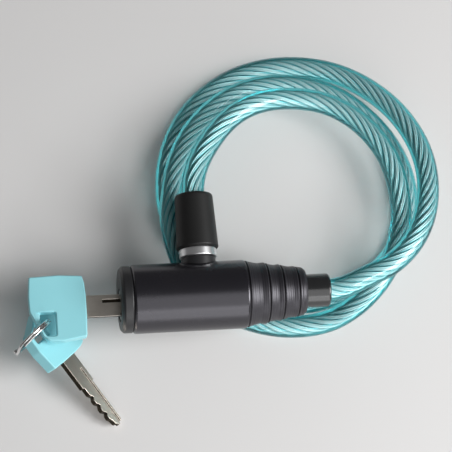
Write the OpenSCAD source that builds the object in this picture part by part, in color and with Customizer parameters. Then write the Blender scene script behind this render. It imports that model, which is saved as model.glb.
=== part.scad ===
// Keyed coil cable lock: a stepped round barrel, a sheathed steel cable laid in a loose
// coil of two and three quarter turns, a plug-in free end, and two keys on a split ring.
// Millimetres, +Z up. The origin is the centre of the coil on the surface it lies on;
// +X runs along the barrel towards the cable exit, +Y from the barrel to the coil.

/* [Barrel] */
// Outer diameter of the grip shell
barrel_d = 25.6; // [20:0.2:34]
// Wall thickness of the grip shell
shell_wall = 2.2; // [1.4:0.1:3.5]
// Outer diameter of the port boss that takes the free end
boss_d = 12.9; // [11:0.1:16]
// Outer diameter of the cable exit collar
collar_d = 12.6; // [11.5:0.1:15]

/* [Cable] */
// Outside diameter of the clear jacket
cable_d = 8.5; // [6:0.5:8.5]
// Diameter of the steel rope inside the jacket
rope_d = 4.8; // [4:0.2:6]
// Degrees of coil between two rings of the tube
ring_step = 15; // [5:1:20]

/* [Free end] */
// Diameter of the locking pin
pin_d = 6.6; // [5:0.1:7.5]
// Diameter at the bottom of the pin's groove
pin_groove_d = 4; // [3:0.1:5]
// Largest diameter of the free end's sleeve
sleeve_d = 15.9; // [13:0.1:18]

/* [Lock works] */
// Diameter of the turning plug
plug_d = 12; // [10:0.1:13]
// Travel of the locking bolt over a quarter turn of the key
bolt_travel = 2; // [1:0.1:2.4]
// Spacing of the five wafers along the plug
wafer_pitch = 3; // [2.2:0.1:3]

/* [Keys] */
// Thickness of a key head
head_t = 4.6; // [3:0.1:6]
// Thickness of a key blade
blade_t = 2; // [1.5:0.1:2.5]
// Width of the blade inside the plug
blade_w = 6.5; // [5:0.1:7.5]
// Mean radius of the split ring
key_ring_r = 8.2; // [7:0.1:12]
// Diameter of the split ring's wire
key_wire_d = 1.4; // [1:0.1:2]

/* [Hidden] */
$fn = 96;
black = [0.05, 0.05, 0.055];
zinc = [0.62, 0.62, 0.6];
steel = [0.72, 0.73, 0.75];
chrome = [0.85, 0.86, 0.88];
brass = [0.78, 0.62, 0.3];
teal = [0.2, 0.68, 0.7, 0.5];
turquoise = [0.5, 0.82, 0.86];

axis_y = -40.3;                  // barrel axis
axis_z = 21.8;
plug_y = axis_y - 2;             // the plug sits off the barrel's axis
port_x = -40.5;                  // axis of the port and of the free end
port_rise = 2;                   // degrees that the port points up from level
barrel_r = barrel_d / 2;
bore_r = barrel_r - shell_wall;
cable_r = cable_d / 2;
rope_r = rope_d / 2;
jacket_in_r = rope_r + 0.1;
run = 0.05;                      // running clearance of turning and sliding pieces
gap = 0.3;                       // clearance between pieces that never touch
face_x = -71;                    // key side face
cap_x = -66.5;                   // groove between the end cap and the shell
core_x = -64;                    // the core starts behind the cap's spigot
core_end_x = -26;
shell_end_x = -1.4;
neck_end_x = 8;
// stepped rings at the cable end: start, end, radius after the groove, at the waist, at the end
steps = [[-23.9, -16.3, 12.5, 11.3, 11.55], [-16.3, -10.7, 11.2, 10.35, 10.65],
    [-10.7, -4.9, 10.3, 9.55, 9.65], [-4.9, -1.4, 9.4, 9.1, 8.5]];
groove_w = 0.45;
groove_t = 0.6;

plug_end_x = -50.5;
cam_end_x = -49.5;
plug_r = plug_d / 2;
keyway_end_x = -51.5;
wafer_x = -67.4;
bolt_gap = 0.4;
bolt_plate_x = cam_end_x + bolt_travel + 0.4;
bolt_plate_t = 1;
bolt_nose_x = -44.9;
pin_r = pin_d / 2;
pin_tip_y = axis_y - 3.6;
boss_y = -26;
ring_y = -23.2;                  // bright ring to sleeve
mouth_y = -1.4;                  // mouth of the sleeve

blade_l = 31.5;
shoulder_x = 12.4;
head_edge = [-83.4, plug_y, axis_z];
key_b_at = [-90.8, -58.6, 9.55];
key_b_turn = [-40.6, 12.4, -54.9];
key_ring_at = [-103.6, -52.5, 21.3];
key_ring_yaw = 42;

// Cable route: degrees round the coil's centre from +X, radius, height of the centre line
floor_z = 3.4;                   // centre line of a run that lies on the floor
port_z = axis_z - axis_y * sin(port_rise);
marks = [
    [-78.7, 41.1, axis_z], [-58, 42.5, axis_z], [-42, 45.9, axis_z], [-26, 48.8, 21],
    [-3, 52.1, 17], [21, 55.1, 12.4], [43, 56.6, 8.6], [62, 57, 5.8], [84, 56.2, 4],
    [105, 55.1, floor_z], [135, 52.6, floor_z], [165, 49.4, floor_z], [190, 46.9, floor_z],
    [211, 43.7, floor_z], [235, 41.5, floor_z], [283, 40.5, floor_z], [309, 42.6, floor_z],
    [336, 45.6, floor_z], [360, 47, floor_z], [380, 47.3, floor_z], [405, 47.1, 4.6],
    [425, 47.3, 6.4], [466, 47.2, 9.2], [499, 46.5, 10.9], [518, 46.6, 11.8], [535, 47.4, 12.4],
    [550, 49.1, 12.3], [560, 50.1, 11.4], [566, 50.7, 10.1], [577, 51.4, 6.7], [587, 51.2, 4.2],
    [597, 50.7, floor_z], [634, 49.7, floor_z], [643, 49.5, 4.8], [654, 48.6, 8.8],
    [669, 46.6, 12], [680, 45.2, 12.8], [702, 43.1, 12.9], [720, 41.8, 12.9], [751, 41.2, 12.9],
    [784, 40.5, 13.2], [804, 39.5, 13.9], [834, 38.9, 16.5], [863, 38, 19.6],
    [898, 40.4, port_z - 0.05], [900, 40.5, port_z]];
last = len(marks) - 1;
exit_slope = 0.143;              // radius per degree that leaves the collar along +X
lead_end = -30;                  // the lead hands over to the coil here
coil_end = 840;                  // and the coil to the tail

// Which node to draw

// ---------------------------------------------------------------- cable route

function part_of(t, i = 0) = i >= last - 1 || t < marks[i + 1][0] ? i : part_of(t, i + 1);
function rise(i, k) = (marks[i + 1][k] - marks[i][k]) / (marks[i + 1][0] - marks[i][0]);
function slope(i, k) =
    i == 0 ? (k == 1 ? exit_slope : 0) :
    i == last ? (k == 1 ? 0 : -0.7 * sin(port_rise)) :
    let (a = rise(i - 1, k), b = rise(i, k)) a * b <= 0 ? 0 : 2 * a * b / (a + b);
function route(t, k) =
    let (i = part_of(t), h = marks[i + 1][0] - marks[i][0], u = (t - marks[i][0]) / h)
    (2 * u ^ 3 - 3 * u ^ 2 + 1) * marks[i][k] + (u ^ 3 - 2 * u ^ 2 + u) * h * slope(i, k)
    + (3 * u ^ 2 - 2 * u ^ 3) * marks[i + 1][k] + (u ^ 3 - u ^ 2) * h * slope(i + 1, k);
// Before the first mark the cable runs straight along +X and after the last down the
// port's axis, one millimetre to the degree.
port_dir = [0, cos(port_rise), sin(port_rise)];
function cable_at(t) =
    t < marks[0][0] ? [neck_end_x + t - marks[0][0], axis_y, axis_z] :
    t > marks[last][0] ? [port_x, axis_y, axis_z] + (marks[last][0] - t - axis_y) * port_dir :
    let (r = route(t, 1)) [r * cos(t), r * sin(t), route(t, 2)];
function unit(v) = v / norm(v);
function cable_dir(t) =
    t <= marks[0][0] ? [1, 0, 0] :
    t >= marks[last][0] ? -port_dir : unit(cable_at(t + 0.4) - cable_at(t - 0.4));

lead_ts = [-98.7, -88.7, -78.7, -66, -54, -42, lead_end];
coil_ts = [for (t = [lead_end:ring_step:coil_end]) t];
tail_ts = [coil_end, 852, 864, 876, 888, 900, 907, 914];
all_ts = concat(lead_ts, [for (i = [1:len(coil_ts) - 1]) coil_ts[i]],
    [for (i = [1:len(tail_ts) - 1]) tail_ts[i]]);
path = [for (t = all_ts) cable_at(t)];
// Least gap of the cable to itself, between centre points more than half a turn apart
fine = [for (t = [-78:3:900]) cable_at(t)];
own_gap = min([for (i = [0:len(fine) - 1]) for (j = [i + 60:1:len(fine) - 1])
    norm(fine[i] - fine[j])]) - cable_d;
fine_length = [for (i = [1:len(fine) - 1]) norm(fine[i] - fine[i - 1])];
function total(v, i = 0) = i >= len(v) ? 0 : v[i] + total(v, i + 1);
echo(least_gap_of_the_cable_to_itself = own_gap);
echo(cable_length = total(fine_length) + 34);

// ---------------------------------------------------------------- building blocks

// Revolved profile of [distance along the axis, radius] about an axis along +X or +Y
module turned_x(profile, x = 0, y = axis_y)
    translate([x, y, axis_z]) rotate([0, 90, 0]) rotate_extrude()
        polygon([for (p = profile) [p[1], p[0]]]);
// The port's axis leaves the barrel's at port_rise; y counts along it from the coil's centre
module on_port() translate([port_x, axis_y, axis_z]) rotate([port_rise - 90, 0, 0])
    translate([0, 0, -axis_y]) children();
module turned_y(profile)
    on_port() rotate_extrude() polygon([for (p = profile) [p[1], p[0]]]);
module rod_x(x0, x1, r, y = axis_y)
    translate([x0, y, axis_z]) rotate([0, 90, 0]) cylinder(r = r, h = x1 - x0);
module rod_y(y0, y1, r)
    on_port() translate([0, 0, y0]) cylinder(r = r, h = y1 - y0);
module block(x0, x1, y0, y1, z0, z1)
    translate([x0, y0, z0]) cube([x1 - x0, y1 - y0, z1 - z0]);

// Ring of eight points round a tube's centre line, flat side down, never below the floor
tube_sides = 8;
function around(p, d, r) =
    let (s = unit(cross([0, 0, 1], d)), n = cross(d, s))
    [for (k = [0:tube_sides - 1]) let (a = 22.5 + 360 * k / tube_sides,
        q = p + r * cos(a) * s + r * sin(a) * n) [q[0], q[1], max(q[2], 0)]];
// Tube along the cable through the given stations; a bore of zero radius makes it solid
module cable_tube(ts, r, bore = 0) {
    n = len(ts);
    m = tube_sides;
    outer = [for (t = ts) each around(cable_at(t), cable_dir(t), r)];
    inner = bore == 0 ? [] : [for (t = ts) each around(cable_at(t), cable_dir(t), bore)];
    wall = [for (i = [0:n - 2]) for (k = [0:m - 1]) let (a = i * m + k, b = i * m + (k + 1) % m)
        each [[a, b + m, b], [a, a + m, b + m]]];
    o = n * m;
    bore_wall = bore == 0 ? [] : [for (f = wall) [f[0] + o, f[2] + o, f[1] + o]];
    e = (n - 1) * m;
    ends = bore == 0
        ? [[for (k = [0:m - 1]) k], [for (k = [m - 1:-1:0]) e + k]]
        : [for (k = [0:m - 1]) let (b = (k + 1) % m)
            each [[k, b, b + o], [k, b + o, k + o],
                [e + k, e + b + o, e + b], [e + k, e + k + o, e + b + o]]];
    polyhedron(points = concat(outer, inner), faces = concat(wall, bore_wall, ends));
}

// ---------------------------------------------------------------- barrel

module grip_shell() color(black) difference() {
    union() {
        turned_x(concat([[cap_x, 0], [cap_x, barrel_r - 0.7], [cap_x + 0.7, barrel_r],
            [steps[0][0] - 0.6, barrel_r], [steps[0][0] - 0.15, barrel_r - 0.15],
            [steps[0][0], barrel_r - 0.4]],
            [for (s = steps) each [[s[0], s[2] - groove_t], [s[0] + groove_w, s[2] - groove_t],
                [s[0] + groove_w, s[2] - 0.15], [s[0] + groove_w + 0.3, s[2]],
                [s[0] + 0.4 * (s[1] - s[0]), (s[2] + 2 * s[3]) / 3],
                [s[0] + 0.65 * (s[1] - s[0]), s[3]], [s[1] - 0.3, s[4]],
                [s[1], s[4] - 0.25]]],
            [[shell_end_x, 0]]));
        rod_y(axis_y, boss_y, boss_d / 2);
    }
    rod_x(cap_x - 1, core_end_x + 0.5, bore_r);
    rod_x(core_end_x, -6, 6.9);
    rod_x(-7, shell_end_x + 1, collar_d / 2 + 0.03);
    rod_y(axis_y, boss_y + 1, pin_r + 0.6);
}

module end_cap() color(black) difference() {
    union() {
        turned_x([[face_x, 0], [face_x, barrel_r - 1.5], [face_x + 1.1, barrel_r - 0.4],
            [cap_x - 0.4, barrel_r - 0.4], [cap_x, barrel_r - 0.8], [cap_x, 0]]);
        rod_x(cap_x - 1, core_x, bore_r - 0.1);
    }
    rod_x(face_x - 1, core_x + 1, plug_r + gap, plug_y);
}

module exit_collar() color(black) difference() {
    turned_x([[-7.5, 0], [-7.5, 6.8], [-6, 6.8], [-6, collar_d / 2],
        [neck_end_x - 0.6, collar_d / 2], [neck_end_x, collar_d / 2 - 0.6], [neck_end_x, 0]]);
    rod_x(-8, neck_end_x + 1, cable_r + 0.05);
}

// Zinc core: plug bore, cam and bolt chamber, pin bore and spring pocket
spring_y = axis_y - 5.9;
spring_end_x = -41;
module lock_core() color(zinc) difference() {
    rod_x(core_x, core_end_x, bore_r - 0.1);
    rod_x(core_x - 1, -47, plug_r + run, plug_y);
    block(-48, -43.6, axis_y - 7.2, axis_y + 3.2, axis_z - 3, axis_z + 3);
    block(-44, port_x - 1.9, axis_y - 1.5, axis_y + 1.5, axis_z - 2.68, axis_z + 2.68);
    rod_y(pin_tip_y - 0.4, axis_y + bore_r + 1, pin_r + run);
    rod_x(-45, spring_end_x, 1.25, spring_y);
}

module plug() color(brass) difference() {
    union() {
        turned_x([[face_x + 0.3, 0], [face_x + 0.3, plug_r - 0.4], [face_x + 0.7, plug_r],
            [plug_end_x, plug_r], [plug_end_x, 0]], 0, plug_y);
        rod_x(plug_end_x - 1, cam_end_x, 2, plug_y);
    }
    block(face_x - 1, keyway_end_x, plug_y - 3.5, plug_y + 3.5, axis_z - 1.25, axis_z + 1.25);
    block(face_x - 1, face_x + 0.9, plug_y - 4.4, plug_y + 4.4, axis_z - 1.6, axis_z + 1.6);
    for (i = [0:4])
        translate([wafer_x + i * wafer_pitch, 0, 0])
            block(-0.55, 0.55, plug_y - 7, plug_y + 7, axis_z - 2.7, axis_z + 2.7);
}

module wafer(i) color(brass)
    translate([wafer_x + (i - 1) * wafer_pitch, 0, 0]) difference() {
        block(-0.45, 0.45, plug_y - 5.4, plug_y + 5.4, axis_z - 2.6, axis_z + 2.6);
        block(-1, 1, plug_y - 3.6, plug_y + 3.6, axis_z - 1.35, axis_z + 1.35);
    }
module wafer_1() wafer(1);
module wafer_2() wafer(2);
module wafer_3() wafer(3);
module wafer_4() wafer(4);
module wafer_5() wafer(5);

// End cam: two ramps that rise by the bolt's travel over a quarter turn
ramp_in = 3.1;
ramp_out = 5.2;
cam_r = 5.5;
ramp_steps = 6;
module ramp(start) {
    a = [for (i = [0:ramp_steps]) start + 90 * i / ramp_steps];
    pts = [for (i = [0:ramp_steps]) each [
        for (c = [[ramp_in, 0], [ramp_out, 0], [ramp_out, 1], [ramp_in, 1]])
            [c[0] * cos(a[i]), c[0] * sin(a[i]), -0.5 + c[1] * (0.5 + 0.02
                + bolt_travel * i / ramp_steps)]]];
    sides = [for (i = [0:ramp_steps - 1]) for (k = [0:3]) let (p = 4 * i + k,
        q = 4 * i + (k + 1) % 4) each [[p, q, q + 4], [p, q + 4, p + 4]]];
    e = 4 * ramp_steps;
    polyhedron(points = pts, faces = concat(sides, [[3, 2, 1, 0], [e, e + 1, e + 2, e + 3]]));
}
module cam() color(steel) difference() {
    union() {
        rod_x(plug_end_x, cam_end_x, cam_r, plug_y);
        translate([cam_end_x, plug_y, axis_z]) rotate([90, 0, 90]) {
            ramp(8);
            ramp(188);
        }
    }
    rod_x(plug_end_x - 1, cam_end_x + 1, 2, plug_y);
}

module locking_bolt() color(steel) {
    block(bolt_plate_x, bolt_plate_x + bolt_plate_t, plug_y - 4.8, plug_y + 4.8,
        axis_z - 2.6, axis_z + 2.6);
    block(bolt_plate_x + bolt_plate_t, bolt_nose_x, axis_y - 1.4, axis_y + 1.4,
        axis_z - 2.6, axis_z + 2.6);
    for (y = [plug_y - 4.8, plug_y + 3.4])
        block(cam_end_x + bolt_gap, bolt_plate_x, y, y + 1.4, axis_z - 0.35, axis_z + 0.35);
}

// Return spring of the bolt: one wound wire of five turns
module bolt_spring() color(steel) {
    turns = 5;
    wire = 0.22;
    r = 0.8;
    x0 = bolt_plate_x + bolt_plate_t + wire;
    pitch = (spring_end_x - wire - x0) / turns;
    n = 8 * turns;
    pts = [for (i = [0:n]) let (a = 45 * i) for (k = [0:5]) let (b = 60 * k)
        [x0 + pitch * i / 8 + wire * sin(b), spring_y + (r + wire * cos(b)) * cos(a),
            axis_z + (r + wire * cos(b)) * sin(a)]];
    faces = [for (i = [0:n - 1]) for (k = [0:5]) let (a = 6 * i + k, b = 6 * i + (k + 1) % 6)
        each [[a, b, b + 6], [a, b + 6, a + 6]]];
    polyhedron(points = pts, faces = concat(faces,
        [[5, 4, 3, 2, 1, 0], [for (k = [0:5]) 6 * n + k]]));
}

module cable_ferrule() color(zinc) difference() {
    turned_x([[-24, 0], [-24, 6.2], [-23.4, 6.8], [-8, 6.8], [-8, 0]]);
    rod_x(-12.2, -7, cable_r + 0.05);
    translate([-18, axis_y, axis_z - 8]) cylinder(r = 1.55, h = 16);
}
module ferrule_pin() color(steel)
    translate([-18, axis_y, axis_z - 6.4]) cylinder(r = 1.5, h = 12.8);

// ---------------------------------------------------------------- cable

module lead_jacket() color(teal) cable_tube(lead_ts, cable_r, jacket_in_r);
module lead_rope() color(steel) cable_tube(lead_ts, rope_r);
module coil_jacket() color(teal) cable_tube(coil_ts, cable_r, jacket_in_r);
module coil_rope() color(steel) cable_tube(coil_ts, rope_r);
module tail_jacket() color(teal) cable_tube(tail_ts, cable_r, jacket_in_r);
module tail_rope() color(steel) cable_tube(tail_ts, rope_r);

// ---------------------------------------------------------------- free end

crimp_y0 = -21;
crimp_y1 = -10;
mouth_r = 7.15;
module end_sleeve() color(black) difference() {
    turned_y([[ring_y, 0], [ring_y, sleeve_d / 2 - 0.8], [ring_y + 0.3, sleeve_d / 2 - 0.3],
        [ring_y + 1, sleeve_d / 2], [mouth_y - 1, mouth_r + 0.05], [mouth_y - 0.3, mouth_r - 0.2],
        [mouth_y, mouth_r - 0.6], [mouth_y, 0]]);
    rod_y(ring_y - 1, crimp_y1 + 0.1, 5.25);
    rod_y(ring_y, mouth_y + 1, cable_r + 0.05);
}
module locking_pin() color(steel) turned_y([[pin_tip_y, 0], [pin_tip_y, pin_r - 0.8],
    [pin_tip_y + 0.6, pin_r], [axis_y - 1.7, pin_r], [axis_y - 1.7, pin_groove_d / 2],
    [axis_y + 1.7, pin_groove_d / 2], [axis_y + 1.7, pin_r], [ring_y, pin_r],
    [ring_y, 2.5], [-16.5, 2.5], [-16.5, 0]]);
module pin_ring() color(chrome) difference() {
    turned_y([[boss_y + 0.1, 0], [boss_y + 0.1, 6.6], [boss_y + 0.5, 7], [ring_y - 0.4, 7],
        [ring_y, 6.6], [ring_y, 0]]);
    rod_y(boss_y - 1, ring_y + 1, pin_r);
}
module end_crimp() color(zinc) difference() {
    rod_y(crimp_y0, crimp_y1, 5.2);
    rod_y(-14.2, crimp_y1 + 1, cable_r + 0.05);
    rod_y(crimp_y0 - 1, -16.4, 2.5);
}

// ---------------------------------------------------------------- keys

// Key outlines lie in the key's own plane, from the head's front edge towards the tip
head_line = [[0, 4.6], [-0.3, 8.8], [-1.1, 11.5], [-10, 12.1], [-20.6, 11.7], [-21.1, 4],
    [-20.9, -1.2], [-17.3, -8.2], [-14.8, -11.9], [-13.9, -12.5], [-8.8, -12.7],
    [-0.3, -11.3], [0, -4.6]];
head_mid = [-10.5, -0.3];
blade_line = [[-7, 3], [0, 3], [0, 4.1], [shoulder_x, 4.1], [shoulder_x, blade_w / 2],
    [30, blade_w / 2], [blade_l, 1.4], [blade_l, 0.2], [30, -1.2], [28.4, -1.4],
    [27.2, -2.3], [26, -2.3], [24.8, -1.3], [23.6, -2.7], [22.2, -2.7], [21, -1.7],
    [19.6, -3], [18.2, -3], [17, -2], [15.6, -blade_w / 2], [shoulder_x, -blade_w / 2],
    [shoulder_x, -4.1], [0, -4.1], [0, -3], [-7, -3]];
slot_x0 = -17.7;
slot_x1 = -11.3;
slot_y0 = -10.7;
slot_y1 = -1.7;
corner = 0.9;

// Head plate with bevelled edges: the outline at four heights, drawn in at top and bottom
module head_plate() {
    n = len(head_line);
    levels = [[-head_t / 2, 0.92], [-head_t / 2 + 0.8, 1], [head_t / 2 - 0.8, 1],
        [head_t / 2, 0.92]];
    pts = [for (l = levels) for (p = head_line) let (q = head_mid + (p - head_mid) * l[1])
        [q[0], q[1], l[0]]];
    polyhedron(points = pts, faces = concat(
        [for (j = [0:2]) for (k = [0:n - 1]) let (m = (k + 1) % n)
            [n * j + k, n * (j + 1) + k, n * (j + 1) + m, n * j + m]],
        [[for (k = [0:n - 1]) k], [for (k = [n - 1:-1:0]) 3 * n + k]]));
}
module key_head() difference() {
    head_plate();
    linear_extrude(2 * head_t, center = true) polygon([
        [slot_x0 + corner, slot_y0], [slot_x1 - corner, slot_y0], [slot_x1, slot_y0 + corner],
        [slot_x1, slot_y1 - corner], [slot_x1 - corner, slot_y1], [slot_x0 + corner, slot_y1],
        [slot_x0, slot_y1 - corner], [slot_x0, slot_y0 + corner]]);
    // sloped scoop that leads the ring into the hole
    translate([slot_x0 + 0.6, slot_y0 + 2.5, head_t / 2 - 1.5]) rotate([0, 22, 0])
        translate([-4.2, 0, 0]) cube([4.2, slot_y1 - slot_y0 - 4, 4]);
    translate([-7, -3, -blade_t / 2]) cube([8, 6, blade_t]);
}
module key_blade() difference() {
    linear_extrude(blade_t, center = true) polygon(blade_line);
    translate([6, 1.1, 0.35]) cube([blade_l, 1.2, blade_t]);
    translate([shoulder_x, -0.6, -blade_t / 2 - 0.35]) cube([blade_l, 1.1, 1]);
}

module at_key_a() translate(head_edge) children();
module at_key_b() translate(key_b_at) rotate(key_b_turn) children();
module key_a_blade() color(chrome) at_key_a() key_blade();
module key_a_head() color(turquoise) at_key_a() key_head();
module key_b_blade() color(chrome) at_key_b() key_blade();
module key_b_head() color(turquoise) at_key_b() key_head();

// Split ring: one wire wound two turns that lie against each other, with the step from one
// to the other and both ends at the joint, on the side away from the keys
function layer(a) = let (u = min(max((a - 340) / 40, 0), 1))
    (2 * u * u * (3 - 2 * u) - 1) * key_wire_d / 2;
module split_ring() color(chrome) {
    m = 8;
    ts = [20:10:700];
    pts = [for (a = ts) for (k = [0:m - 1]) let (b = 22.5 + 45 * k,
        r = key_ring_r + key_wire_d / 2 * cos(b))
        [r * cos(a), r * sin(a), layer(a) + key_wire_d / 2 * sin(b)]];
    n = len(pts) / m - 1;
    faces = [for (i = [0:n - 1]) for (k = [0:m - 1]) let (p = m * i + k, q = m * i + (k + 1) % m)
        each [[p, q, q + m], [p, q + m, p + m]]];
    translate(key_ring_at) rotate([90, 0, key_ring_yaw]) rotate(150)
        polyhedron(points = pts, faces = concat(faces,
            [[for (k = [m - 1:-1:0]) k], [for (k = [0:m - 1]) m * n + k]]));
}

// ---------------------------------------------------------------- nodes

grip_shell();
end_cap();
exit_collar();
lock_core();
plug();
wafer_1();
wafer_2();
wafer_3();
wafer_4();
wafer_5();
cam();
locking_bolt();
bolt_spring();
cable_ferrule();
ferrule_pin();
lead_jacket();
lead_rope();
coil_jacket();
coil_rope();
tail_jacket();
tail_rope();
end_sleeve();
locking_pin();
pin_ring();
end_crimp();
key_a_blade();
key_a_head();
key_b_blade();
key_b_head();
split_ring();
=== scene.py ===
import math
import bpy
import bmesh
import numpy as np
from mathutils import Matrix, Vector


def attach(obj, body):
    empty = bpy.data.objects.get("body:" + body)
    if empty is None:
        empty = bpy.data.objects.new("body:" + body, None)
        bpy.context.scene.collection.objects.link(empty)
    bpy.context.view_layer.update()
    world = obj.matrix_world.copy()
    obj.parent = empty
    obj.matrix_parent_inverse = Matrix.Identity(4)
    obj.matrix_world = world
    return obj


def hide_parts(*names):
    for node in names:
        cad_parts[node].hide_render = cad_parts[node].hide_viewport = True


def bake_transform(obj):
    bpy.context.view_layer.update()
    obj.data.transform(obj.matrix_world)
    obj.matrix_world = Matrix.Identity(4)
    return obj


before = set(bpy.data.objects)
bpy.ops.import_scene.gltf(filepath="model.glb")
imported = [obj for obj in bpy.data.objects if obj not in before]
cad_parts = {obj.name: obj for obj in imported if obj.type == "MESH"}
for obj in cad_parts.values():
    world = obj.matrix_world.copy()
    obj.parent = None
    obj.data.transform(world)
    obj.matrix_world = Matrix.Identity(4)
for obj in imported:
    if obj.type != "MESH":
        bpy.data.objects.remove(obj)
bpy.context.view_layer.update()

MM = 0.001


def add_object(name, data):
    piece = bpy.data.objects.new(name, data)
    bpy.context.collection.objects.link(piece)
    return piece


# ------------------------------------------------------------------ camera

CAMERA_AT = (-0.13085, -0.19849, 0.66665)
CAMERA_BACK = (-0.1503, -0.2725, 0.9503)
CAMERA_ROLL = math.radians(-4.925)
CAMERA_LENS, SENSOR = 143.36, 36


def add_camera():
    back = Vector(CAMERA_BACK).normalized()
    level = Vector((0, 1, 0)).cross(back).normalized()
    upright = back.cross(level)
    c, s = math.cos(CAMERA_ROLL), math.sin(CAMERA_ROLL)
    right = c * level + s * upright
    up = c * upright - s * level
    data = bpy.data.cameras.new("view")
    data.lens, data.sensor_width = CAMERA_LENS, SENSOR
    data.clip_start, data.clip_end = 0.05, 10
    camera = add_object("view", data)
    turn = Matrix((right, up, back)).transposed().to_4x4()
    camera.matrix_world = Matrix.Translation(CAMERA_AT) @ turn
    bpy.context.scene.camera = camera


add_camera()
bpy.context.scene.view_settings.view_transform = "Standard"

# ------------------------------------------------------------------ axes, in millimetres

AXIS_Y, AXIS_Z = -40.3, 21.8
PLUG_Y = AXIS_Y - 2
PORT_X, PORT_RISE = -40.5, math.radians(2)
PORT_DIR = np.array((0, math.cos(PORT_RISE), math.sin(PORT_RISE)))
NECK_END_X = 8
RINGS_X = -23.8                    # the stepped rings start just before here
BARREL_AXIS = (np.array((0, AXIS_Y, AXIS_Z)), np.array((1.0, 0, 0)))
PLUG_AXIS = (np.array((0, PLUG_Y, AXIS_Z)), np.array((1.0, 0, 0)))
# distances along the port's axis count from the coil's centre
PORT_AXIS = (np.array((PORT_X, AXIS_Y, AXIS_Z)) - AXIS_Y * PORT_DIR, PORT_DIR)

# ------------------------------------------------------------------ cable route

CABLE_R = 4.25
FLAT_Z, ROUND_Z = 3.4, 9.0
PORT_Z = AXIS_Z - AXIS_Y * math.sin(PORT_RISE)
# degrees round the coil's centre from +X, radius, height of the centre line
MARKS = np.array([
    (-78.7, 41.1, 21.8), (-58, 42.5, 21.8), (-42, 45.9, 21.8), (-26, 48.8, 21),
    (-3, 52.1, 17), (21, 55.1, 12.4), (43, 56.6, 8.6), (62, 57, 5.8), (84, 56.2, 4),
    (105, 55.1, 3.4), (135, 52.6, 3.4), (165, 49.4, 3.4), (190, 46.9, 3.4),
    (211, 43.7, 3.4), (235, 41.5, 3.4), (283, 40.5, 3.4), (309, 42.6, 3.4),
    (336, 45.6, 3.4), (360, 47, 3.4), (380, 47.3, 3.4), (405, 47.1, 4.6),
    (425, 47.3, 6.4), (466, 47.2, 9.2), (499, 46.5, 10.9), (518, 46.6, 11.8),
    (535, 47.4, 12.4), (550, 49.1, 12.3), (560, 50.1, 11.4), (566, 50.7, 10.1),
    (577, 51.4, 6.7), (587, 51.2, 4.2), (597, 50.7, 3.4), (634, 49.7, 3.4),
    (643, 49.5, 4.8), (654, 48.6, 8.8), (669, 46.6, 12), (680, 45.2, 12.8),
    (702, 43.1, 12.9), (720, 41.8, 12.9), (751, 41.2, 12.9), (784, 40.5, 13.2),
    (804, 39.5, 13.9), (834, 38.9, 16.5), (863, 38, 19.6),
    (898, 40.4, PORT_Z - 0.05), (900, 40.5, PORT_Z)])
FIRST, LAST = MARKS[0, 0], MARKS[-1, 0]


def mark_slopes(column, first, last):
    rise = np.diff(MARKS[:, column]) / np.diff(MARKS[:, 0])
    slopes = [first]
    for a, b in zip(rise[:-1], rise[1:]):
        slopes.append(0 if a * b <= 0 else 2 * a * b / (a + b))
    return slopes + [last]


SLOPES = {1: mark_slopes(1, 0.143, 0), 2: mark_slopes(2, 0, -0.7 * math.sin(PORT_RISE))}


def on_route(t, column):
    i = int(np.clip(np.searchsorted(MARKS[:, 0], t, side="right") - 1, 0, len(MARKS) - 2))
    h = MARKS[i + 1, 0] - MARKS[i, 0]
    u = (t - MARKS[i, 0]) / h
    return ((2 * u**3 - 3 * u**2 + 1) * MARKS[i, column]
            + (u**3 - 2 * u**2 + u) * h * SLOPES[column][i]
            + (3 * u**2 - 2 * u**3) * MARKS[i + 1, column]
            + (u**3 - u**2) * h * SLOPES[column][i + 1])


def cable_at(t):
    """Centre of the cable; beyond the marks it runs straight, a millimetre to the degree."""
    if t < FIRST:
        return np.array((NECK_END_X + t - FIRST, AXIS_Y, AXIS_Z))
    if t > LAST:
        return PORT_AXIS[0] + (LAST - t) * PORT_DIR
    r, z = on_route(t, 1), on_route(t, 2)
    # the round cable touches the floor where the solid is cut flat
    z += (CABLE_R - FLAT_Z) * min(1, max(0, (ROUND_Z - z) / (ROUND_Z - FLAT_Z)))
    a = math.radians(t)
    return np.array((r * math.cos(a), r * math.sin(a), z))


def stations(start, end, spacing):
    """Evenly spaced points along the cable with their running length and axes."""
    ts = np.linspace(start, end, int(abs(end - start) * 4) + 1)
    fine = np.array([cable_at(t) for t in ts])
    run = np.concatenate([[0], np.cumsum(np.linalg.norm(np.diff(fine, axis=0), axis=1))])
    s = np.linspace(0, run[-1], max(2, int(round(run[-1] / spacing)) + 1))
    at = np.interp(s, run, ts)
    p = np.array([cable_at(t) for t in at])
    ahead = np.array([cable_at(t + 0.5) - cable_at(t - 0.5) for t in at])
    return p, s, *across(ahead)


def across(d):
    """Two unit vectors across each direction, the first of them level."""
    side = np.cross((0, 0, 1), d)
    side /= np.linalg.norm(side, axis=1)[:, None]
    other = np.cross(d, side)
    return side, other / np.linalg.norm(other, axis=1)[:, None]


# ------------------------------------------------------------------ meshes


def new_object(name, verts, faces, finish, smooth=True):
    """A mesh object from points in millimetres."""
    mesh = bpy.data.meshes.new(name)
    mesh.from_pydata([tuple(v) for v in np.asarray(verts) * MM], [], faces)
    mesh.update()
    if smooth:
        mesh.shade_smooth()
    mesh.materials.append(finish)
    return add_object(name, mesh)


def dress(mesh, finish):
    """Gives the whole mesh one finish."""
    mesh.materials.clear()
    mesh.materials.append(finish)


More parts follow.
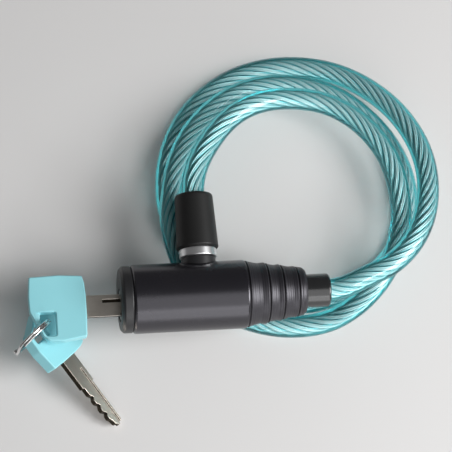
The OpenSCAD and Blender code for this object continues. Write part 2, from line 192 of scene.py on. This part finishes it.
def loft_faces(n, m, first=0, around=False):
    """Faces that join n rings of m points; the ends are closed, or joined if around."""
    rows = n if around else n - 1
    faces = [(first + i * m + k, first + i * m + (k + 1) % m,
              first + (i + 1) % n * m + (k + 1) % m, first + (i + 1) % n * m + k)
             for i in range(rows) for k in range(m)]
    if not around:
        faces += [tuple(first + k for k in range(m - 1, -1, -1)),
                  tuple(first + (n - 1) * m + k for k in range(m))]
    return faces


def tube_points(line, side, up, radius, sides):
    a = np.linspace(0, 2 * math.pi, sides, endpoint=False)
    return (line[:, None] + radius * (np.cos(a)[None, :, None] * side[:, None]
                                      + np.sin(a)[None, :, None] * up[:, None])).reshape(-1, 3)


def each_corner(outline):
    """Each corner of a closed outline, with unit vectors to its neighbours and its shorter side."""
    points = np.array(outline, float)
    for i, p in enumerate(points):
        before, after = points[i - 1] - p, points[(i + 1) % len(points)] - p
        la, lb = np.linalg.norm(before), np.linalg.norm(after)
        yield p, before / la, after / lb, min(la, lb)


def arc(a, p, b, steps=5):
    """A rounded corner from a to b that leans towards p."""
    return [(1 - u) ** 2 * a + 2 * u * (1 - u) * p + u * u * b for u in np.linspace(0, 1, steps)]


def rounded(outline, radius):
    """A closed outline with its corners rounded."""
    out = []
    for p, before, after, side in each_corner(outline):
        r = min(radius, 0.45 * side)
        out += arc(p + before * r, p, p + after * r)
    return out


STRAIGHT = -0.985                  # cosine past which a corner counts as none


def eased(profile, ease):
    """The closed profile with rounded corners, and points that keep its flats flat."""
    out = []
    for p, before, after, side in each_corner(profile):
        if before @ after < STRAIGHT:
            out.append(p)
            continue
        r, keep = min(ease, 0.35 * side), min(0.06, 0.1 * side)
        a, b = p + before * r, p + after * r
        out += [a + before * keep, *arc(a, p, b), b + after * keep]
    return np.array(out)


def turned(name, axis, profile, finish, ease, sides=144):
    """A turned piece: a closed profile of (distance along the axis, radius), revolved."""
    origin, along = axis
    side = np.cross((0, 0, 1), along)
    side /= np.linalg.norm(side)
    up = np.cross(along, side)
    shape = eased(profile, ease)
    a = np.linspace(0, 2 * math.pi, sides, endpoint=False)
    verts = [origin + x * along + r * (math.cos(t) * side + math.sin(t) * up)
             for x, r in shape for t in a]
    return new_object(name, verts, loft_faces(len(shape), sides, around=True), finish)


def rod(axis, start, end, radius, sides=96):
    """A closed cylinder that cuts a hole."""
    origin, along = axis
    line = np.array([origin + start * along, origin + end * along])
    side, up = across(np.array([along, along]))
    return new_object("cutter", tube_points(line, side, up, radius, sides),
                      loft_faces(2, sides), None)


def settle(piece):
    """Applies the piece's modifiers to its mesh."""
    seen = piece.evaluated_get(bpy.context.evaluated_depsgraph_get())
    mesh = bpy.data.meshes.new_from_object(seen)
    piece.modifiers.clear()
    piece.data = mesh
    return piece


def cut(piece, cutter):
    """Takes the cutter's shape out of the piece and removes the cutter."""
    tool = piece.modifiers.new("cut", "BOOLEAN")
    tool.operation, tool.solver, tool.object = "DIFFERENCE", "MANIFOLD", cutter
    settle(piece)
    bpy.data.objects.remove(cutter)


def ease_edges(piece, width, steps=3):
    """Rounds the sharp edges of a flat-sided piece and keeps its faces flat."""
    bevel = piece.modifiers.new("ease", "BEVEL")
    bevel.width, bevel.segments, bevel.limit_method = width * MM, steps, "ANGLE"
    bevel.angle_limit = math.radians(28)
    settle(piece)
    piece.data.shade_smooth()
    piece.modifiers.new("flat faces", "WEIGHTED_NORMAL")
    return settle(piece)


def flat_sided(name, mesh, degrees, finish):
    """A piece from the mesh, with its doubled points and its faces in one plane joined."""
    work = bmesh.new()
    work.from_mesh(mesh)
    bmesh.ops.remove_doubles(work, verts=work.verts, dist=1e-6)
    bmesh.ops.dissolve_limit(work, angle_limit=math.radians(degrees), verts=work.verts,
                             edges=work.edges)
    bmesh.ops.recalc_face_normals(work, faces=work.faces)
    work.to_mesh(mesh)
    work.free()
    mesh.name = name
    dress(mesh, finish)
    return add_object(name, mesh)


def from_solid(node, name, finish, width):
    """A new piece with the shape of a CAD node and eased edges."""
    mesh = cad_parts[node].data.copy()
    return ease_edges(flat_sided(name, mesh, 1, finish), width)


# ------------------------------------------------------------------ finishes


class Value:
    """A number in a shader that Python's operators work on."""

    def __init__(self, finish, socket):
        self.finish, self.socket = finish, socket

    def _with(self, operation, other):
        return self.finish.value("ShaderNodeMath", {"operation": operation}, {0: self, 1: other})

    def __add__(self, other):
        return self._with("ADD", other)

    __radd__ = __add__

    def __mul__(self, other):
        return self._with("MULTIPLY", other)

    def over(self, edge):
        return self._with("GREATER_THAN", edge)


class Finish:
    """A material with one Principled shader; fixed values sit on the shader itself."""

    def __init__(self, name, **fixed):
        self.material = bpy.data.materials.new(name)
        self.material.use_nodes = True
        self.tree = self.material.node_tree
        self.shader = next(n for n in self.tree.nodes if n.type == "BSDF_PRINCIPLED")
        self.out = next(n for n in self.tree.nodes if n.type == "OUTPUT_MATERIAL")
        self.set(**fixed)

    def put(self, socket, value):
        if isinstance(value, Value):
            value = value.socket
        if isinstance(value, bpy.types.NodeSocket):
            self.tree.links.new(value, socket)
        elif isinstance(value, tuple) and len(value) == 3 and socket.type == "RGBA":
            socket.default_value = (*value, 1)
        else:
            socket.default_value = value

    def node(self, kind, settings=(), sockets=()):
        made = self.tree.nodes.new(kind)
        for key, value in dict(settings).items():
            setattr(made, key, value)
        for key, value in dict(sockets).items():
            self.put(made.inputs[key], value)
        return made

    def value(self, kind, settings=(), sockets=(), output=0):
        return Value(self, self.node(kind, settings, sockets).outputs[output])

    def place(self):
        """Object coordinates: every piece sits at the origin, so these are metres."""
        return self.node("ShaderNodeTexCoord").outputs["Object"]

    def noise(self, scale, detail=3.0, rough=0.5, stretch=(1, 1, 1), turn=(0, 0, 0)):
        at = self.node("ShaderNodeMapping", {}, {"Vector": self.place(), "Scale": stretch,
                                                 "Rotation": turn}).outputs[0]
        return self.value("ShaderNodeTexNoise", {}, {"Vector": at, "Scale": scale,
                                                     "Detail": detail, "Roughness": rough})

    def mix(self, factor, a, b):
        """A colour between two others; inputs 6 and 7 and output 2 are the node's colours."""
        return self.node("ShaderNodeMix", {"data_type": "RGBA"},
                         {0: factor, 6: a, 7: b}).outputs[2]

    def blend(self, factor, a, b=None):
        """A mix of two shader nodes; without the second it mixes with nothing."""
        shaders = {1: a.outputs[0]} if b is None else {1: a.outputs[0], 2: b.outputs[0]}
        return self.node("ShaderNodeMixShader", {}, {0: factor, **shaders})

    def attribute(self, name):
        return self.value("ShaderNodeAttribute", {"attribute_name": name}, output="Fac")

    def bump(self, height, distance, strength):
        made = self.node("ShaderNodeBump", {}, {"Height": height, "Distance": distance,
                                                "Strength": strength})
        self.put(self.shader.inputs["Normal"], made.outputs[0])

    def set(self, **inputs):
        for key, value in inputs.items():
            self.put(self.shader.inputs[key.replace("_", " ")], value)
        return self.material


def moulded_black(name, dark, light, rough, gloss, grain):
    f = Finish(name, Specular_IOR_Level=gloss)
    cloud = f.noise(70, 3)
    fine = f.noise(1900, 2)
    f.bump(fine, grain, 0.5)
    return f.set(Base_Color=f.mix(cloud, dark, light), Roughness=rough + cloud * 0.08)


def ribbed_black():
    """Satin shell; the stepped rings carry fine turned lines."""
    f = Finish("ribbed_black", Specular_IOR_Level=0.88, Specular_Tint=(0.94, 0.92, 1.0))
    x = f.value("ShaderNodeSeparateXYZ", {}, {0: f.place()})
    rings = x.over(RINGS_X * MM)
    lines = f.noise(1500, 2, stretch=(1, 0.01, 0.01))
    grain = f.noise(2200, 2)
    cloud = f.noise(60, 3)
    f.bump(lines * rings + grain * 0.1, 0.00013, 0.9)
    return f.set(Base_Color=f.mix(cloud, (0.005, 0.005, 0.007), (0.009, 0.008, 0.011)),
                 Roughness=0.24 + cloud * 0.06 + rings * 0.16)


def key_plastic():
    f = Finish("key_plastic", Specular_IOR_Level=0.45, Subsurface_Weight=0.05,
               Subsurface_Radius=(0.001, 0.0016, 0.0018))
    grain = f.noise(1500, 3)
    cloud = f.noise(80, 4)
    f.bump(grain, 0.00003, 0.5)
    return f.set(Base_Color=f.mix(cloud, (0.31, 0.72, 0.79), (0.34, 0.76, 0.83)),
                 Roughness=0.36 + cloud * 0.1)


def nickel(name, dark, light, turn):
    """Plated blade steel, brushed along its length; its cut faces are painted darker as shade."""
    f = Finish(name, Metallic=1.0)
    painted_shade = f.attribute("cut")
    lines = f.noise(1400, 3, stretch=(0.04, 1, 1), turn=(0, 0, turn))
    stains = f.noise(260, 3)
    f.bump(lines, 0.00001, 0.6)
    face = f.mix(stains, dark, light)
    # the cut faces' dark colour is painted shade
    edge = f.mix(stains, (0.03, 0.026, 0.02), (0.09, 0.075, 0.055))
    return f.set(Base_Color=f.mix(painted_shade, face, edge), Roughness=0.26 + lines * 0.16)


def plated(name, dark, light, rough, stretch=(1, 1, 1)):
    f = Finish(name, Metallic=1.0)
    lines = f.noise(1300, 3, stretch=stretch)
    haze = f.noise(200, 3)
    f.bump(lines, 0.000012, 0.6)
    return f.set(Base_Color=f.mix(haze, dark, light), Roughness=rough + lines * 0.14)


def rope_steel(name, dark, light, rough, metal=1.0):
    """Wire of the rope; its valleys are painted dark teal, as painted shade and as the tint of the
    plastic that fills them.
    """
    f = Finish(name, Metallic=metal)
    grime = f.noise(420, 4, 0.6)
    scratch = f.noise(2600, 2)
    valley_shade = f.attribute("valley_shade")
    f.bump(scratch, 0.00002, 0.5)
    # the valleys' dark teal is painted shade, partly the tint of the plastic in them
    return f.set(Base_Color=f.mix(valley_shade, f.mix(grime, dark, light), (0.0, 0.34, 0.38)),
                 Roughness=rough + scratch * 0.12)


def clear_jacket():
    """Tinted clear plastic that its depth colours; to shadow rays it is an untinted veil."""
    f = Finish("clear_jacket", Transmission_Weight=1.0, IOR=1.5, Roughness=0.03,
               Specular_IOR_Level=0.4)
    cloud = f.noise(90, 3)
    f.set(Base_Color=f.mix(cloud, (0.93, 1.0, 1.0), (0.98, 1.0, 1.0)))
    shadow = f.value("ShaderNodeLightPath", output="Is Shadow Ray")
    open_way = f.node("ShaderNodeBsdfTransparent", {}, {"Color": (1.0, 1.0, 1.0)})
    veil = f.node("ShaderNodeBsdfTransparent", {}, {"Color": (0.95, 0.96, 0.96)})
    skin = f.blend(f.attribute("joint"), f.blend(shadow, f.shader, veil), open_way)
    f.put(f.out.inputs["Surface"], skin.outputs[0])
    depth = f.node("ShaderNodeVolumeAbsorption", {}, {"Color": (0.02, 0.79, 0.82),
                                                      "Density": 320.0})
    f.put(f.out.inputs["Volume"], f.blend(shadow, depth).outputs[0])
    return f.material


def floor_paper():
    f = Finish("floor_paper", Roughness=0.9, Specular_IOR_Level=0.1)
    cloud = f.noise(3, 2)
    return f.set(Base_Color=f.mix(cloud, (0.715, 0.705, 0.70), (0.745, 0.735, 0.73)))


SHELL = ribbed_black()
CAP = moulded_black("cap_black", (0.012, 0.012, 0.014), (0.02, 0.02, 0.022), 0.36, 0.6, 0.00003)
COLLAR = moulded_black("collar_black", (0.009, 0.009, 0.010), (0.014, 0.014, 0.015), 0.17, 1.0,
                       0.00002)
SLEEVE = moulded_black("sleeve_black", (0.013, 0.013, 0.013), (0.019, 0.019, 0.019), 0.42, 0.3,
                       0.00003)
TURQUOISE = key_plastic()
# both blades are one nickel; key B's copy is painted lighter and warmer as painted light
NICKEL_A = nickel("nickel_a", (0.60, 0.55, 0.49), (0.78, 0.73, 0.66), 0)
NICKEL_B_LIT = nickel("nickel_b_lit", (0.88, 0.78, 0.67), (1.0, 0.92, 0.82), math.radians(55))
CHROME = plated("ring_chrome", (0.70, 0.69, 0.68), (0.84, 0.83, 0.83), 0.10)
PIN_RING = plated("brushed_ring", (0.76, 0.77, 0.77), (0.93, 0.93, 0.95), 0.26, (0.1, 1, 0.1))
BRASS = plated("turned_brass", (0.55, 0.38, 0.15), (0.68, 0.50, 0.22), 0.22, (1, 0.1, 0.1))
STEEL = plated("turned_steel", (0.48, 0.48, 0.48), (0.60, 0.60, 0.60), 0.20)
ZINC = plated("cast_zinc", (0.36, 0.36, 0.36), (0.46, 0.46, 0.45), 0.40)
ROPE = rope_steel("rope_steel", (0.98, 0.67, 0.67), (1.0, 0.77, 0.76), 0.36, 0.5)
# the core is painted nearly black as the shade deep between the strands
ROPE_CORE_SHADE = rope_steel("rope_core_shade", (0.05, 0.07, 0.07), (0.12, 0.15, 0.15), 0.5)
JACKET = clear_jacket()
FLOOR = floor_paper()


def place(piece, body, slot, *nodes):
    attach(piece, body)
    if nodes:
        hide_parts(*nodes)


# ------------------------------------------------------------------ barrel

BARREL_R, WALL = 12.8, 2.2
BORE_R = BARREL_R - WALL
CAP_X, FACE_X, CORE_X, SHELL_END_X = -66.5, -71, -64, -1.4
SEAT_X, BORE_END_X = -7, -25.5
BOSS_END, RING_END, MOUTH = -26, -23.2, -1.4
COLLAR_R, PIN_R, BOSS_R, SEAT_R = 6.3, 3.3, 6.45, 6.9
PORT_R = PIN_R + 0.6
CABLE_HOLE_R = CABLE_R + 0.05
GROOVE_W, GROOVE_DEPTH = 0.45, 0.6
# fine turned lines on the rings, and where along a ring its waist lies
RIPPLE, RIPPLE_PITCH, RIPPLE_STEP = 0.02, 0.8, 0.2
WAIST_AT = (0.0, 0.4, 0.65, 1)
# start, end, radius after the groove, at the waist, at the end
RINGS = [(-23.9, -16.3, 12.5, 11.3, 11.55), (-16.3, -10.7, 11.2, 10.35, 10.65),
         (-10.7, -4.9, 10.3, 9.55, 9.65), (-4.9, -1.4, 9.4, 9.1, 8.5)]


def waisted(start, end, high, waist, low):
    """Outline of one stepped ring: a groove, a lip, a waist and a rolled edge."""
    lip, rim = start + GROOVE_W, end - 0.3
    points = [(start, high - GROOVE_DEPTH), (lip, high - GROOVE_DEPTH),
              (lip, high - 0.15), (lip + 0.3, high)]
    for x in np.arange(lip + 0.6, rim - 0.3, RIPPLE_STEP):
        fall = np.interp((x - start) / (end - start), WAIST_AT,
                         (high, (high + 2 * waist) / 3, waist, low))
        points.append((x, fall + RIPPLE * math.cos(2 * math.pi * x / RIPPLE_PITCH)))
    return points + [(rim, low), (end, low - 0.25)]


def grip_outline():
    outer = [(CAP_X, BARREL_R - 0.7), (CAP_X + 0.7, BARREL_R), (-24.5, BARREL_R),
             (-24.05, BARREL_R - 0.15), (-23.9, BARREL_R - 0.4)]
    for ring in RINGS:
        outer += waisted(*ring)
    inner = [(SHELL_END_X, COLLAR_R + 0.03), (SEAT_X, COLLAR_R + 0.03), (SEAT_X, SEAT_R),
             (BORE_END_X, SEAT_R), (BORE_END_X, BORE_R), (CAP_X, BORE_R)]
    return outer + inner


shell = turned("barrel_shell", BARREL_AXIS, grip_outline(), SHELL, ease=0.25)
cut(shell, rod(PORT_AXIS, AXIS_Y, BOSS_END + 1, PORT_R))
shell.data.set_sharp_from_angle(angle=math.radians(40))
place(shell, "barrel", "shell_black", "grip_shell")

BOSS_START = AXIS_Y + BORE_R + 0.1
boss = turned("port_boss", PORT_AXIS,
              [(BOSS_START, BOSS_R), (BOSS_END, BOSS_R), (BOSS_END, PORT_R), (BOSS_START, PORT_R)],
              CAP, ease=0.25)
place(boss, "barrel", "shell_black")

PLUG_HOLE_R, CAP_START_R = 6.3, 2.0  # the hole takes away what the turning starts from
cap = turned("barrel_cap", BARREL_AXIS,
             [(FACE_X, CAP_START_R), (FACE_X, BARREL_R - 1.5), (FACE_X + 1.1, BARREL_R - 0.4),
              (CAP_X - 0.4, BARREL_R - 0.4), (CAP_X, BARREL_R - 0.8), (CAP_X, BORE_R - 0.1),
              (CORE_X, BORE_R - 0.1), (CORE_X, CAP_START_R)], CAP, ease=0.35)
cut(cap, rod(PLUG_AXIS, FACE_X - 1, CORE_X + 1, PLUG_HOLE_R))
cap.data.set_sharp_from_angle(angle=math.radians(40))
place(cap, "barrel", "shell_black", "end_cap")

FLANGE_R = 6.8
collar = turned("cable_collar", BARREL_AXIS,
                [(SEAT_X - 0.5, CABLE_HOLE_R), (SEAT_X - 0.5, FLANGE_R), (SEAT_X + 1, FLANGE_R),
                 (SEAT_X + 1, COLLAR_R), (NECK_END_X - 0.6, COLLAR_R),
                 (NECK_END_X, COLLAR_R - 0.6), (NECK_END_X, CABLE_HOLE_R)], COLLAR, ease=0.3)
place(collar, "barrel", "shell_black", "exit_collar")

# ------------------------------------------------------------------ free end

SLEEVE_R, MOUTH_R, SLEEVE_START = 7.95, 7.15, -22.5
CRIMP_R, CRIMP_END = 5.25, -9.9
sleeve = turned("plug_sleeve", PORT_AXIS,
                [(SLEEVE_START, CRIMP_R), (SLEEVE_START, SLEEVE_R - 0.8),
                 (SLEEVE_START + 0.3, SLEEVE_R - 0.3), (SLEEVE_START + 0.8, SLEEVE_R),
                 (MOUTH - 1, MOUTH_R + 0.05), (MOUTH - 0.3, MOUTH_R - 0.2),
                 (MOUTH, MOUTH_R - 0.6), (MOUTH, CABLE_HOLE_R), (CRIMP_END, CABLE_HOLE_R),
                 (CRIMP_END, CRIMP_R)], SLEEVE, ease=0.3)
place(sleeve, "free_end", "shell_black", "end_sleeve")

BRIGHT_R = 7
ring = turned("bright_ring", PORT_AXIS,
              [(BOSS_END + 0.1, PIN_R), (BOSS_END + 0.1, BRIGHT_R - 0.4),
               (BOSS_END + 0.5, BRIGHT_R), (SLEEVE_START - 0.3, BRIGHT_R),
               (SLEEVE_START, BRIGHT_R - 0.2), (SLEEVE_START, PIN_R)], PIN_RING, ease=0.15)
place(ring, "free_end", "chrome", "pin_ring")

PIN_TIP, PIN_GROOVE, PIN_GROOVE_R = AXIS_Y - 3.6, (AXIS_Y - 1.7, AXIS_Y + 1.7), 2
STEM_R, STEM_END, NEAR_AXIS = 2.5, -16.5, 0.01
pin = turned("grooved_pin", PORT_AXIS,
             [(PIN_TIP, NEAR_AXIS), (PIN_TIP, PIN_R - 0.8), (PIN_TIP + 0.6, PIN_R),
              (PIN_GROOVE[0], PIN_R), (PIN_GROOVE[0], PIN_GROOVE_R),
              (PIN_GROOVE[1], PIN_GROOVE_R), (PIN_GROOVE[1], PIN_R), (RING_END, PIN_R),
              (RING_END, STEM_R), (STEM_END, STEM_R), (STEM_END, NEAR_AXIS)], STEEL, ease=0.15)
place(pin, "free_end", "steel", "locking_pin")

# ------------------------------------------------------------------ cable

JACKET_STEP, JACKET_SIDES = 1.8, 32


def cable_jacket(name, start, end, joint):
    """Clear round jacket; the end face numbered joint meets the next piece of jacket."""
    p, s, side, up = stations(start, end, JACKET_STEP)
    piece = new_object(name, tube_points(p, side, up, CABLE_R, JACKET_SIDES),
                       loft_faces(len(p), JACKET_SIDES), JACKET)
    piece.data.set_sharp_from_angle(angle=math.radians(60))
    piece.data.attributes.new("joint", "FLOAT", "FACE").data[joint].value = 1.0
    return piece, p * MM, s[-1] * MM


STRANDS = 6
# place along the route in degrees, length over which a strand goes once round
LAYS = np.array([(-78.7, 28.5), (-20, 29.7), (20, 32.9), (55, 33.5), (105, 35.5),
                 (485, 33.5), (722, 36.4), (767, 36.2), (820, 40)])
ROPE_STEP, STRAND_R, STRAND_RING_R, CORE_R, CORE_SIDES = 1.0, 0.68, 1.44, 0.95, 12
WIRES, WIRE_POINTS, WIRE_LAY, WIRE_DEPTH = 7, 6, 400.0, 0.32
# depth below the rope's surface at which the painted shade in its valleys starts, and from there to
# its full strength
VALLEY_START, VALLEY_RAMP = 0.15, 0.75


def cable_rope(name, start, end, twist=0.0, run=0.0):
    """Steel rope: ridged strands round a core; it goes on from another's twist and run."""
    p, s, side, up = stations(start, end, ROPE_STEP)
    lay = np.interp(np.linspace(start, end, len(s)), LAYS[:, 0], LAYS[:, 1])
    step = np.diff(s) * 2 / (lay[1:] + lay[:-1])
    turns = twist + np.concatenate([[0], np.cumsum(step)])
    k = np.arange(WIRE_POINTS * WIRES)
    bulge = 1 - WIRE_DEPTH * np.abs(np.cos(math.pi * k / WIRE_POINTS)) ** 3
    verts, faces = [], []
    for strand in range(STRANDS):
        a = 2 * math.pi * (strand / STRANDS + turns)
        out = np.cos(a)[:, None] * side + np.sin(a)[:, None] * up
        line = p + STRAND_RING_R * out
        level, outward = across(np.gradient(line, axis=0))
        turn = 2 * math.pi * (k[None] / len(k) + (s[:, None] + run) / WIRE_LAY)
        verts.append((line[:, None] + STRAND_R * bulge[None, :, None]
                      * (np.cos(turn)[..., None] * level[:, None]
                         + np.sin(turn)[..., None] * outward[:, None])).reshape(-1, 3))
        faces += loft_faces(len(p), len(k), strand * len(p) * len(k))
    points = np.concatenate(verts)
    piece = new_object(name, points, faces, ROPE)
    middle = np.tile(np.repeat(p, len(k), 0), (STRANDS, 1))
    # depth into the valleys sets how much painted shade the rope gets there
    deep = STRAND_RING_R + STRAND_R - np.linalg.norm(points - middle, axis=1)
    valley_shade = piece.data.attributes.new("valley_shade", "FLOAT", "POINT").data
    valley_shade.foreach_set("value", np.clip((deep - VALLEY_START) / VALLEY_RAMP, 0, 1))
    piece.data.set_sharp_from_angle(angle=math.radians(75))
    # the core's dark finish is painted shade between the strands
    core = new_object(name + "_core", tube_points(p, side, up, CORE_R, CORE_SIDES),
                      loft_faces(len(p), CORE_SIDES), ROPE_CORE_SHADE)
    return piece, core, turns[-1], s[-1]


# degrees along the route where the tail takes over and where it ends
HANDOVER, TAIL_END = 800, LAST + 10
jacket, jacket_path, jacket_length = cable_jacket("cable_jacket", FIRST, HANDOVER, -1)
rope, core, *rope_end = cable_rope("cable_rope", FIRST, HANDOVER)
place(jacket, "barrel", "clear_jacket", "lead_jacket", "coil_jacket")
place(rope, "barrel", "rope", "lead_rope", "coil_rope")
place(core, "barrel", "rope")

tail, tail_path, tail_length = cable_jacket("tail_jacket_piece", HANDOVER, TAIL_END, -2)
tail_rope, tail_core, *_ = cable_rope("tail_rope_piece", HANDOVER, TAIL_END, *rope_end)
for piece, name, nodes in ((tail, "clear_jacket", ["tail_jacket"]),
                           (tail_rope, "rope", ["tail_rope"]), (tail_core, "rope", [])):
    tuple(cable_at(HANDOVER + 4) * MM)
    tuple(cable_at(LAST - 4) * MM)
    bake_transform(piece)
    if nodes:
        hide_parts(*nodes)

# ------------------------------------------------------------------ keys

# a blade's faces count as its groove from GROOVE_MIN below its flat sides
HEAD_T, BLADE_T, BLADE_EDGE, GROOVE_MIN = 4.6, 2.0, 0.14, 0.15
HEAD_LINE = [(0, 4.6), (-0.3, 8.8), (-1.1, 11.5), (-10, 12.1), (-20.6, 11.7), (-21.1, 4),
             (-20.9, -1.2), (-17.3, -8.2), (-14.8, -11.9), (-13.9, -12.5), (-8.8, -12.7),
             (-0.3, -11.3), (0, -4.6)]
HOLE = [(-15.4, -10.7), (-11.3, -10.7), (-11.3, -1.7), (-17.2, -1.7), (-17.2, -5.6)]
SCOOP_SIZE, SCOOP_AT, SCOOP_TILT = (4.2, 4.6, 4), (-17.0, -6.3, HEAD_T / 2 - 0.8), 22


def turn_xyz(x, y, z):
    """The rotation that turns about X, then Y, then Z."""
    return (Matrix.Rotation(math.radians(z), 4, "Z") @ Matrix.Rotation(math.radians(y), 4, "Y")
            @ Matrix.Rotation(math.radians(x), 4, "X"))


KEY_A = Matrix.Translation(Vector((-83.4, PLUG_Y, AXIS_Z)) * MM)
KEY_B = Matrix.Translation(Vector((-90.8, -58.6, 9.55)) * MM) @ turn_xyz(-40.6, 12.4, -54.9)


def moulded_slab(name, outlines, thickness, edge, finish):
    """A flat moulding with rounded edges, cut out by its outlines."""
    curve = bpy.data.curves.new(name, "CURVE")
    curve.dimensions, curve.fill_mode = "2D", "BOTH"
    curve.extrude, curve.bevel_depth = (thickness / 2 - edge) * MM, edge * MM
    curve.bevel_resolution, curve.offset = 4, -edge * MM
    for outline in outlines:
        spline = curve.splines.new("POLY")
        spline.points.add(len(outline) - 1)
        for point, (x, y) in zip(spline.points, outline):
            point.co = (x * MM, y * MM, 0, 1)
        spline.use_cyclic_u = True
    holder = add_object(name + "_line", curve)
    seen = holder.evaluated_get(bpy.context.evaluated_depsgraph_get())
    mesh = bpy.data.meshes.new_from_object(seen)
    bpy.data.objects.remove(holder)
    return flat_sided(name, mesh, 0.5, finish)


def key_head(name, at):
    """Moulded head with a slot for the ring and a scoop that leads into it."""
    head = moulded_slab(name, [rounded(HEAD_LINE, 0.6), rounded(HOLE, 0.8)], HEAD_T, 0.55,
                        TURQUOISE)
    long, wide, high = SCOOP_SIZE
    tilt = Matrix.Translation(SCOOP_AT) @ Matrix.Rotation(math.radians(SCOOP_TILT), 4, "Y")
    box = [tuple(tilt @ Vector((x, y, z))) for z in (high, 0)
           for x, y in ((-long, 0), (-long, wide), (0, wide), (0, 0))]
    cut(head, new_object("cutter", box, loft_faces(2, 4), None, smooth=False))
    head.data.transform(at)
    head.data.shade_smooth()
    head.data.set_sharp_from_angle(angle=math.radians(30))
    head.modifiers.new("flat faces", "WEIGHTED_NORMAL").keep_sharp = True
    return settle(head)


def key_blade(node, name, at, finish, groove):
    """Flat blade; its notched lower edge, and for one key its groove, count as cut faces, which are
    painted with shade.
    """
    blade = from_solid(node, name, finish, BLADE_EDGE)
    back = at.inverted()
    turn = back.to_3x3()
    # the cut faces are marked for painted shade
    painted_shade = blade.data.attributes.new("cut", "FLOAT", "FACE").data
    for face in blade.data.polygons:
        n, p = turn @ face.normal, back @ face.center
        notch = n.y < -0.6 and abs(n.z) < 0.5
        floor = groove and abs(n.z) > 0.5 and abs(p.z) < (BLADE_T / 2 - GROOVE_MIN) * MM
        painted_shade[face.index].value = float(notch or floor)
    return blade


place(key_head("key_head_a", KEY_A), "key_a", "key_plastic", "key_a_head")
place(key_head("key_head_b", KEY_B), "key_b", "key_plastic", "key_b_head")
place(key_blade("key_a_blade", "blade_a", KEY_A, NICKEL_A, True), "key_a", "nickel",
      "key_a_blade")
place(key_blade("key_b_blade", "blade_b", KEY_B, NICKEL_B_LIT, False), "key_b", "nickel",
      "key_b_blade")

RING_R, WIRE_T, WIRE_W = 8.2, 1.0, 1.4
RING_TURN = (Matrix.Translation(Vector((-103.6, -52.5, 21.3)) * MM)
             @ Matrix.Rotation(math.radians(6), 4, Vector((0.743, 0.669, 0)))
             @ turn_xyz(90, 0, 42) @ Matrix.Rotation(math.radians(150), 4, "Z"))


def split_ring():
    """One wire wound two turns, with the step from one to the other between its ends."""
    start, end, step_start, step_long = 20, 701, 340, 40
    a = np.arange(start, end, 4.0)
    u = np.clip((a - step_start) / step_long, 0, 1)
    z = (2 * u * u * (3 - 2 * u) - 1) * WIRE_T / 2
    line = np.stack([RING_R * np.cos(np.radians(a)), RING_R * np.sin(np.radians(a)), z], 1)
    side, up = across(np.gradient(line, axis=0))
    sides = 16
    b = np.linspace(0, 2 * math.pi, sides, endpoint=False)
    # a slightly flattened wire, so that the two turns show a line between them
    flat = np.stack([WIRE_W / 2 * np.sign(np.cos(b)) * np.abs(np.cos(b)) ** 0.7,
                     WIRE_T / 2 * np.sign(np.sin(b)) * np.abs(np.sin(b)) ** 0.7], 1)
    points = (line[:, None] + flat[None, :, :1] * side[:, None]
              + flat[None, :, 1:] * up[:, None]).reshape(-1, 3)
    piece = new_object("key_ring", points, loft_faces(len(line), sides), CHROME)
    piece.data.transform(RING_TURN)
    piece.data.set_sharp_from_angle(angle=math.radians(50))
    return piece


place(split_ring(), "ring", "chrome", "split_ring")

# ------------------------------------------------------------------ works inside the barrel

INSIDE = {"plug": ZINC, "cam": STEEL, "locking_bolt": STEEL, "ferrule_pin": STEEL,
          "lock_core": ZINC, "cable_ferrule": ZINC, "end_crimp": ZINC,
          **{f"wafer_{i}": BRASS for i in range(1, 6)}}
for node, finish in INSIDE.items():
    dress(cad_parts[node].data, finish)


def return_spring():
    """Spring between the bolt's plate and the core, built at one length; the real one shortens as
    the bolt moves.
    """
    start, end, middle = -46.0, -41.1, (AXIS_Y - 5.9, AXIS_Z)
    turns, radius, wire, sides = 5, 0.8, 0.2, 10
    a = np.linspace(0, 2 * math.pi * turns, 24 * turns + 1)
    line = np.stack([np.linspace(start + wire, end - wire, len(a)),
                     middle[0] + radius * np.cos(a), middle[1] + radius * np.sin(a)], 1)
    out = np.stack([0 * a, np.cos(a), np.sin(a)], 1)
    along = np.tile((1.0, 0, 0), (len(a), 1))
    spring = new_object("return_spring", tube_points(line, along, out, wire, sides),
                        loft_faces(len(a), sides), STEEL)
    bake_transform(spring)
    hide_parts("bolt_spring")


return_spring()

# ------------------------------------------------------------------ floor and light


def add_floor():
    size, drop = 3000, -0.1
    corners = [(-size, -size, drop), (size, -size, drop), (size, size, drop),
               (-size, size, drop)]
    new_object("floor", corners, [(0, 1, 2, 3)], FLOOR, smooth=False)


def add_lamp(name, at, aim, size, radiance):
    """A soft rectangular lamp that shines as bright as a surface of that radiance."""
    data = bpy.data.lights.new(name, "AREA")
    data.shape = "RECTANGLE"
    data.size, data.size_y = size
    data.energy = radiance * math.pi * size[0] * size[1]
    lamp = add_object(name, data)
    lamp.location = at
    lamp.rotation_euler = (Vector(aim) - Vector(at)).to_track_quat("-Z", "Y").to_euler()


def add_world(strength):
    world = bpy.data.worlds.new("studio")
    world.use_nodes = True
    sky = world.node_tree.nodes["Background"].inputs
    sky["Color"].default_value = (1.0, 1.0, 1.0, 1)
    sky["Strength"].default_value = strength
    bpy.context.scene.world = world


COIL_MIDDLE, BARREL_MIDDLE = (0.0, -0.02, 0.0), (-0.02, -0.04, 0.02)
add_floor()
add_lamp("window", (0.75, -0.30, 0.67), COIL_MIDDLE, (0.60, 0.60), 10.7)
add_lamp("overhead_strip", (0.14, -0.66, 0.96), BARREL_MIDDLE, (0.60, 1.12), 1.15)
add_lamp("low_strip", (0.14, -1.12, 0.34), BARREL_MIDDLE, (0.60, 0.80), 2.2)
add_world(0.12)
